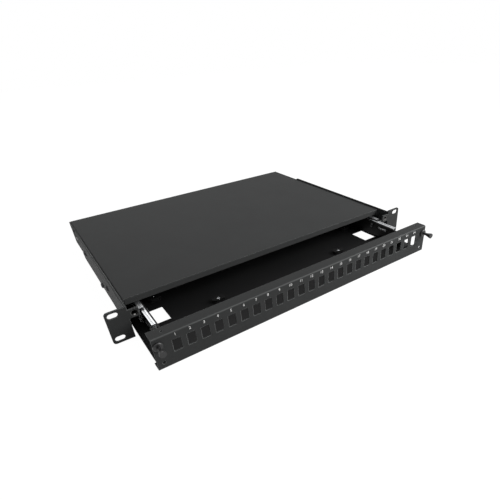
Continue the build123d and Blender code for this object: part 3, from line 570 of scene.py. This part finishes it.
def edit(piece, test, *steps):
    """Runs edit-mode steps on the faces that pass the test."""
    activate(piece)
    choose(piece, test)
    bpy.context.tool_settings.mesh_select_mode = (False, False, True)
    bpy.ops.object.mode_set(mode="EDIT")
    for step in steps:
        must(step(), f"shaping {piece.name}")
    bpy.ops.object.mode_set(mode="OBJECT")


def settle(piece):
    """Puts a piece's place, turn and size into its mesh."""
    activate(piece)
    must(bpy.ops.object.transform_apply(location=True, rotation=True, scale=True),
         f"placing {piece.name}")


def apply(piece, kind, name, **choices):
    """Adds a modifier with these settings and applies it."""
    activate(piece)
    modifier = piece.modifiers.new(name, kind)
    for key, value in choices.items():
        setattr(modifier, key, value)
    must(bpy.ops.object.modifier_apply(modifier=modifier.name), f"the {name} of {piece.name}")


def smooth(piece, degrees):
    """Smooth shading with its sharp edges kept."""
    activate(piece)
    must(bpy.ops.object.shade_smooth_by_angle(angle=math.radians(degrees)),
         f"smoothing {piece.name}")


def join(name, parts):
    """One piece from several, which goes by this name."""
    if not parts:
        raise RuntimeError(f"{name} has no pieces to join")
    activate(*parts)
    if len(parts) > 1:
        must(bpy.ops.object.join(), f"joining {name}")
    whole = bpy.context.object
    whole.name = name
    whole.data.name = name
    return whole


def copy_at(piece, matrix):
    """Another piece with its own mesh, moved there."""
    other = piece.copy()
    other.data = piece.data.copy()
    other.data.transform(matrix)
    bpy.context.scene.collection.objects.link(other)
    return other


def discard(piece):
    """Removes a piece and its mesh."""
    mesh = piece.data
    bpy.data.objects.remove(piece)
    bpy.data.meshes.remove(mesh)


def frame_along(origin, direction):
    """Matrix that sets local Z along a direction at a point."""
    return Matrix.Translation(origin) @ direction.to_track_quat("Z", "Y").to_matrix().to_4x4()


def separate_solids(node):
    """Lists of points, one for each separate solid of a CAD node."""
    mesh = NODES[node].data
    first, link = {}, list(range(len(mesh.vertices)))

    def root(i):
        while link[i] != i:
            link[i] = link[link[i]]
            i = link[i]
        return i

    # The triangles share no corners, so corners at one place are linked first.
    for vertex in mesh.vertices:
        key = tuple(round(c * CORNER_GRID) for c in vertex.co)
        link[root(vertex.index)] = root(first.setdefault(key, vertex.index))
    for face in mesh.polygons:
        start = root(face.vertices[0])
        for corner in face.vertices[1:]:
            link[root(corner)] = start
    solids = {}
    for vertex in mesh.vertices:
        solids.setdefault(root(vertex.index), []).append(vertex.co.copy())
    return list(solids.values())


def read_screw(points):
    """Seat, direction, head radius, head height, shank radius and length of a plain CAD screw."""
    low = Vector(min(p[i] for p in points) for i in range(3))
    high = Vector(max(p[i] for p in points) for i in range(3))
    size, middle = high - low, (low + high) / 2
    # A screw is round, so the two sizes across its own axis agree best.
    unlike = [abs(size[(i + 1) % 3] - size[(i + 2) % 3]) for i in range(3)]
    axis = unlike.index(min(unlike))

    def radius(point):
        away = point - middle
        away[axis] = 0.0
        return away.length

    widest = max(radius(p) for p in points)
    rim = [p[axis] for p in points if radius(p) > widest * RIM_SHARE]
    far = high[axis] if sum(rim) / len(rim) > middle[axis] else low[axis]
    near = low[axis] if far == high[axis] else high[axis]
    seat_at = min(rim) if far == high[axis] else max(rim)
    shank = max(radius(p) for p in points if abs(p[axis] - near) < END_DEPTH)
    seat = middle.copy()
    seat[axis] = seat_at
    direction = Vector((0.0, 0.0, 0.0))
    direction[axis] = 1.0 if far == high[axis] else -1.0
    return seat, direction, widest, abs(far - seat_at), shank, abs(seat_at - near)


def cross_screw(radius, height, shank, length):
    """Pan-head screw with a cross recess, its seat at the origin and its head up."""
    choice = settings("screws")
    deselect()
    bpy.ops.mesh.primitive_cylinder_add(vertices=HEAD_SIDES, radius=radius, depth=height,
                                        location=(0, 0, height / 2))
    screw = bpy.context.object
    settle(screw)
    edit(screw, lambda f: f.normal.z > FACING,
         lambda: bpy.ops.mesh.bevel(offset=height * choice.crown, segments=CROWN_STEPS,
                                    profile=0.5, affect="EDGES", clamp_overlap=True))
    edit(screw, lambda f: f.normal.z < -FACING and f.area > radius ** 2,
         lambda: bpy.ops.mesh.inset(thickness=radius - shank),
         lambda: bpy.ops.mesh.extrude_region_move(
             TRANSFORM_OT_translate={"value": (0, 0, -length)}))
    span = 2 * radius * choice.recess_span
    width = 2 * radius * choice.recess_width
    depth = height * choice.recess_depth
    for across, along in ((span, width), (width, span)):
        deselect()
        bpy.ops.mesh.primitive_cube_add(size=1, location=(0, 0, height))
        arm = bpy.context.object
        arm.scale = (across, along, 2 * depth)
        settle(arm)
        edit(arm, lambda f: f.normal.z < -FACING,
             lambda: bpy.ops.transform.resize(value=(RECESS_TAPER, RECESS_TAPER, 1.0),
                                              center_override=(0, 0, height - depth)))
        apply(screw, "BOOLEAN", "recess", object=arm, operation="DIFFERENCE", solver="EXACT")
        discard(arm)
    smooth(screw, 35.0)
    return screw


def set_screws(node, body, material):
    """Cross-head screws in place of the plain ones of a CAD node."""
    patterns, made = {}, []
    for points in separate_solids(node):
        seat, direction, radius, height, shank, length = read_screw(points)
        key = tuple(round(v * SCREW_GRID) for v in (radius, height, shank, length))
        if key not in patterns:
            patterns[key] = cross_screw(radius, height, shank, length)
        turn = Matrix.Rotation(math.radians(SCREW_TURN * len(made)), 4, "Z")
        made.append(copy_at(patterns[key], frame_along(seat, direction) @ turn))
    for pattern in patterns.values():
        discard(pattern)
    screws = join(f"{node}_cross_headed", made)
    paint(screws, material)
    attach(screws, body)
    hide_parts(node)
    return screws


class PATCHPANEL_OT_sheet_metal(bpy.types.Operator):
    """Powder coats the body, the ears, the panel and the tray."""
    bl_idname = "patchpanel.sheet_metal"
    bl_label = "Coat the sheet metal"

    def execute(self, context):
        coat = settings("coat")
        # Painted light: the chassis and cover get a paler copy of the coat.
        dress(BODY_COATED, powder_coat("body_coat", tuple(coat.body_colour),
                                       roughness=0.68, specular=0.06))
        # The panel and ears get the strongest painted highlight on their edges, and a painted
        # highlight on their folds.
        dress(FRONT_COATED, powder_coat("satin_black_coat", tuple(coat.front_colour),
                                        roughness=0.62, specular=0.09, edges=0.9, folds=0.2))
        # Painted shade: the tray and its rails get a much darker copy of the coat.
        dress(INNER_COATED, powder_coat("deep_black_coat", tuple(coat.inner_colour),
                                        roughness=0.55, specular=0.12))
        return {"FINISHED"}


class PATCHPANEL_OT_slides(bpy.types.Operator):
    """Plates the slides, and finishes their cages, balls and catches."""
    bl_idname = "patchpanel.slides"
    bl_label = "Plate the slides"

    def execute(self, context):
        zinc = tuple(settings("metal").zinc_colour)
        dress(ZINC_PLATED, zinc_plate("zinc_plate", zinc, roughness=0.3))
        # Painted shade: the outer and middle members get a copy of the zinc at 0.62 of its colour.
        dress(SHADE_DARKENED_ZINC, zinc_plate("oiled_zinc", tint(zinc, 0.62), roughness=0.36))
        dress(CAGES, zinc_plate("cage_strip", tint(zinc, 0.85), roughness=0.38))
        dress(BALLS, polished("ball_steel", (0.78, 0.78, 0.79), roughness=0.06))
        dress(CATCHES, polished("dark_nickel", (0.12, 0.118, 0.115), roughness=0.24))
        return {"FINISHED"}


class PATCHPANEL_OT_mouldings(bpy.types.Operator):
    """Finishes the plastic and rubber pieces."""
    bl_idname = "patchpanel.mouldings"
    bl_label = "Finish the mouldings"

    def execute(self, context):
        dress(BLACK_NYLON, moulded("black_nylon", (0.012, 0.012, 0.0125), roughness=0.42))
        dress(SPOOLS, moulded("spool_plastic", (0.022, 0.022, 0.023), roughness=0.48))
        dress(("tie_saddles",), moulded("saddle_nylon", (0.005, 0.005, 0.0052), roughness=0.7,
                                        specular=0.15))
        dress(("splice_cassette",), moulded("cassette_plastic", (0.50, 0.51, 0.52),
                                            roughness=0.5))
        dress(("cassette_lid",), clear_lid("clear_lid"))
        dress(RUBBERS, rubber("black_rubber", (0.03, 0.03, 0.031)))
        return {"FINISHED"}


class PATCHPANEL_OT_port_numbers(bpy.types.Operator):
    """Prints a number above each port."""
    bl_idname = "patchpanel.port_numbers"
    bl_label = "Print the port numbers"

    def execute(self, context):
        choice = settings("numbers")
        if len(PORT_BOXES) != PORTS:
            raise RuntimeError(f"{len(PORT_BOXES)} ports where {PORTS} are numbered")
        height = PANEL_HIGH.z - choice.centre_below_top
        figures = []
        for number, (low, high) in enumerate(PORT_BOXES, start=1):
            deselect()
            bpy.ops.object.text_add(location=(0, 0, 0))
            text = bpy.context.object
            text.data.body = str(number)
            text.data.size = choice.height * FIGURE_SCALE
            text.data.extrude = choice.ink / 2
            text.data.resolution_u = 4
            text.data.align_x = "CENTER"
            activate(text)
            bpy.ops.object.convert(target="MESH")
            text = bpy.context.object
            top = max(v.co.y for v in text.data.vertices)
            place = Vector(((low[0] + high[0]) / 2, PANEL_LOW.y - choice.ink / 2,
                            height - top / 2))
            text.data.transform(Matrix.Translation(place) @ Matrix.Rotation(math.pi / 2, 4, "X"))
            figures.append(text)
        numbers = join("port_numbers", figures)
        paint(numbers, printed_ink("white_print"))
        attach(numbers, "drawer")
        return {"FINISHED"}


class PATCHPANEL_OT_screws(bpy.types.Operator):
    """Puts cross-head screws in place of the plain ones."""
    bl_idname = "patchpanel.screws"
    bl_label = "Drive the screws"

    def execute(self, context):
        black = zinc_plate("black_zinc", (0.045, 0.045, 0.047), roughness=0.36)
        bright = zinc_plate("bright_zinc", tuple(settings("metal").zinc_colour), roughness=0.26)
        for node, body in BLACK_SCREWS:
            set_screws(node, body, black)
        for node, body in BRIGHT_SCREWS:
            set_screws(node, body, bright)
        return {"FINISHED"}


class PATCHPANEL_OT_gland_ribs(bpy.types.Operator):
    """Sets grip ribs round the caps of the cable glands."""
    bl_idname = "patchpanel.gland_ribs"
    bl_label = "Rib the gland caps"

    def execute(self, context):
        choice = settings("glands")
        nylon = bpy.data.materials.get("black_nylon")
        if nylon is None:
            raise RuntimeError("the mouldings are finished before the ribs are set")
        for side in SIDES:
            low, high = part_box(f"gland_cap_{side}")
            middle = (low + high) / 2
            radius = (high.x - low.x) / 2
            start = low.y + RIB_START + choice.rib_length / 2
            deselect()
            bpy.ops.mesh.primitive_cylinder_add(vertices=RIB_SIDES, radius=choice.rib_width / 2,
                                                depth=choice.rib_length,
                                                rotation=(math.pi / 2, 0, 0))
            rib = bpy.context.object
            settle(rib)
            edit(rib, lambda f: abs(f.normal.y) > FACING,
                 lambda: bpy.ops.mesh.inset(thickness=choice.rib_width * RIB_INSET),
                 lambda: bpy.ops.transform.resize(value=(1.0, RIB_CROWN, 1.0)))
            reach = radius + choice.rib_rise - choice.rib_width / 2
            ribs = []
            for i in range(choice.ribs):
                spin = Matrix.Rotation(2 * math.pi * i / choice.ribs, 4, "Y")
                centre = Matrix.Translation(Vector((middle.x, start, middle.z)))
                ribs.append(copy_at(rib, centre @ spin @ Matrix.Translation((0, 0, reach))))
            discard(rib)
            whole = join(f"gland_cap_ribs_{side}", ribs)
            smooth(whole, 40.0)
            paint(whole, nylon)
            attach(whole, "chassis")
        return {"FINISHED"}


def plain_background(tree):
    """1 for the rays that see the background itself: camera, glossy and transmission rays."""
    path = tree.nodes.new("ShaderNodeLightPath")
    camera, gloss, clear = [Value(tree, path.outputs[f"Is {kind} Ray"])
                            for kind in ("Camera", "Glossy", "Transmission")]
    return camera.combine("MAXIMUM", camera.combine("MAXIMUM", camera, gloss), clear)


def show_by_ray(tree, lit, seen, share, output):
    """Mixes the shader that is lit with the one that is seen, by a share, into the output."""
    mix = tree.nodes.new("ShaderNodeMixShader")
    connect(tree, mix.inputs[0], share)
    tree.links.new(lit.outputs[0], mix.inputs[1])
    tree.links.new(seen.outputs[0], mix.inputs[2])
    tree.links.new(mix.outputs[0], tree.nodes[output].inputs["Surface"])


def pale_surface(name):
    """Material of the table top: pale, and near white where the camera or a gloss sees it."""
    finish = Finish(name)
    tree = finish.tree
    finish.set(Base_Color=(0.82, 0.82, 0.82, 1.0), Roughness=0.9, Specular_IOR_Level=0.1)
    glow = tree.nodes.new("ShaderNodeEmission")
    glow.inputs["Color"].default_value = (1.0, 1.0, 1.0, 1.0)
    glow.inputs["Strength"].default_value = TABLE_GLOW
    show_by_ray(tree, finish.shader, glow, plain_background(tree) * TABLE_SHARE,
                "Material Output")
    return finish.material


def lamp(name, target, azimuth, height, distance, power):
    """Square soft lamp in this direction from a point, facing it."""
    choice = settings("lamps")
    data = bpy.data.lights.new(name, "AREA")
    data.size = choice.width * distance
    data.energy = power
    thing = bpy.data.objects.new(name, data)
    away = Vector((math.sin(azimuth) * math.cos(height), math.cos(azimuth) * math.cos(height),
                   math.sin(height)))
    thing.location = target + away * distance
    thing.rotation_euler = away.to_track_quat("Z", "Y").to_euler()
    bpy.context.scene.collection.objects.link(thing)


class PATCHPANEL_OT_table(bpy.types.Operator):
    """Sets the table, the lamps, the surroundings and the camera."""
    bl_idname = "patchpanel.table"
    bl_label = "Set the table"

    def execute(self, context):
        choice = settings("table")
        low, high = CAD_BOX
        middle = (low + high) / 2
        deselect()
        bpy.ops.mesh.primitive_plane_add(size=choice.table_size,
                                         location=(middle.x, middle.y, low.z - TABLE_GAP))
        table = bpy.context.object
        table.name = "table_top"
        settle(table)
        paint(table, pale_surface("pale_table"))
        lamps = settings("lamps")
        lamp("front_lamp", middle, lamps.front_azimuth, lamps.front_height,
             lamps.front_distance, lamps.front_power)
        lamp("rear_lamp", middle, lamps.rear_azimuth, lamps.rear_height,
             lamps.rear_distance, lamps.rear_power)
        self.surroundings(lamps.sky)
        self.camera(choice)
        context.scene.view_settings.view_transform = "Standard"
        return {"FINISHED"}

    def surroundings(self, strength):
        """Even light from all round, which the camera, glosses and clear pieces see as white."""
        world = bpy.data.worlds.new("soft_room")
        bpy.context.scene.world = world
        world.use_nodes = True
        tree = world.node_tree
        dim = tree.nodes["Background"]
        dim.inputs["Color"].default_value = (1.0, 1.0, 1.0, 1.0)
        dim.inputs["Strength"].default_value = strength
        white = tree.nodes.new("ShaderNodeBackground")
        white.inputs["Color"].default_value = (1.0, 1.0, 1.0, 1.0)
        white.inputs["Strength"].default_value = 1.0
        show_by_ray(tree, dim, white, plain_background(tree), "World Output")

    def camera(self, choice):
        """Camera that looks as the photograph does."""
        data = bpy.data.cameras.new("camera")
        data.sensor_width = SENSOR
        data.lens = choice.focal_pixels / PICTURE * SENSOR
        data.shift_x = (PICTURE / 2 - choice.centre_x) / PICTURE
        data.shift_y = (choice.centre_y - PICTURE / 2) / PICTURE
        data.clip_start = 0.01
        data.clip_end = 50.0
        thing = bpy.data.objects.new("camera", data)
        view = Vector((math.sin(choice.azimuth) * math.cos(choice.dip),
                       math.cos(choice.azimuth) * math.cos(choice.dip), -math.sin(choice.dip)))
        turn = view.to_track_quat("-Z", "Y").to_matrix() @ Matrix.Rotation(choice.roll, 3, "Z")
        thing.matrix_world = Matrix.Translation(choice.eye) @ turn.to_4x4()
        bpy.context.scene.collection.objects.link(thing)
        bpy.context.scene.camera = thing


OPERATORS = (PATCHPANEL_OT_sheet_metal, PATCHPANEL_OT_slides, PATCHPANEL_OT_mouldings,
             PATCHPANEL_OT_port_numbers, PATCHPANEL_OT_screws, PATCHPANEL_OT_gland_ribs,
             PATCHPANEL_OT_table)


class PATCHPANEL_PT_sidebar(bpy.types.Panel):
    """Buttons and sizes in the 3D view's sidebar."""
    bl_idname = "PATCHPANEL_PT_sidebar"
    bl_label = "Patch panel"
    bl_space_type = "VIEW_3D"
    bl_region_type = "UI"
    bl_category = "Patch panel"

    def draw(self, context):
        for operator in OPERATORS:
            self.layout.operator(operator.bl_idname)
        for name, group in SETTINGS:
            box = self.layout.box()
            box.label(text=name.capitalize())
            for key in group.__annotations__:
                box.prop(settings(name), key)


def register():
    for _, group in SETTINGS:
        bpy.utils.register_class(group)
    for name, group in SETTINGS:
        setattr(bpy.types.Scene, f"patch_panel_{name}", PointerProperty(type=group))
    for operator in OPERATORS:
        bpy.utils.register_class(operator)
    bpy.utils.register_class(PATCHPANEL_PT_sidebar)


def unregister():
    bpy.utils.unregister_class(PATCHPANEL_PT_sidebar)
    for operator in reversed(OPERATORS):
        bpy.utils.unregister_class(operator)
    for name, group in reversed(SETTINGS):
        delattr(bpy.types.Scene, f"patch_panel_{name}")
        bpy.utils.unregister_class(group)


def main():
    """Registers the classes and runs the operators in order."""
    register()
    bpy.ops.patchpanel.sheet_metal()
    bpy.ops.patchpanel.slides()
    bpy.ops.patchpanel.mouldings()
    bpy.ops.patchpanel.port_numbers()
    bpy.ops.patchpanel.screws()
    bpy.ops.patchpanel.gland_ribs()
    bpy.ops.patchpanel.table()


if __name__ == "__main__":
    main()
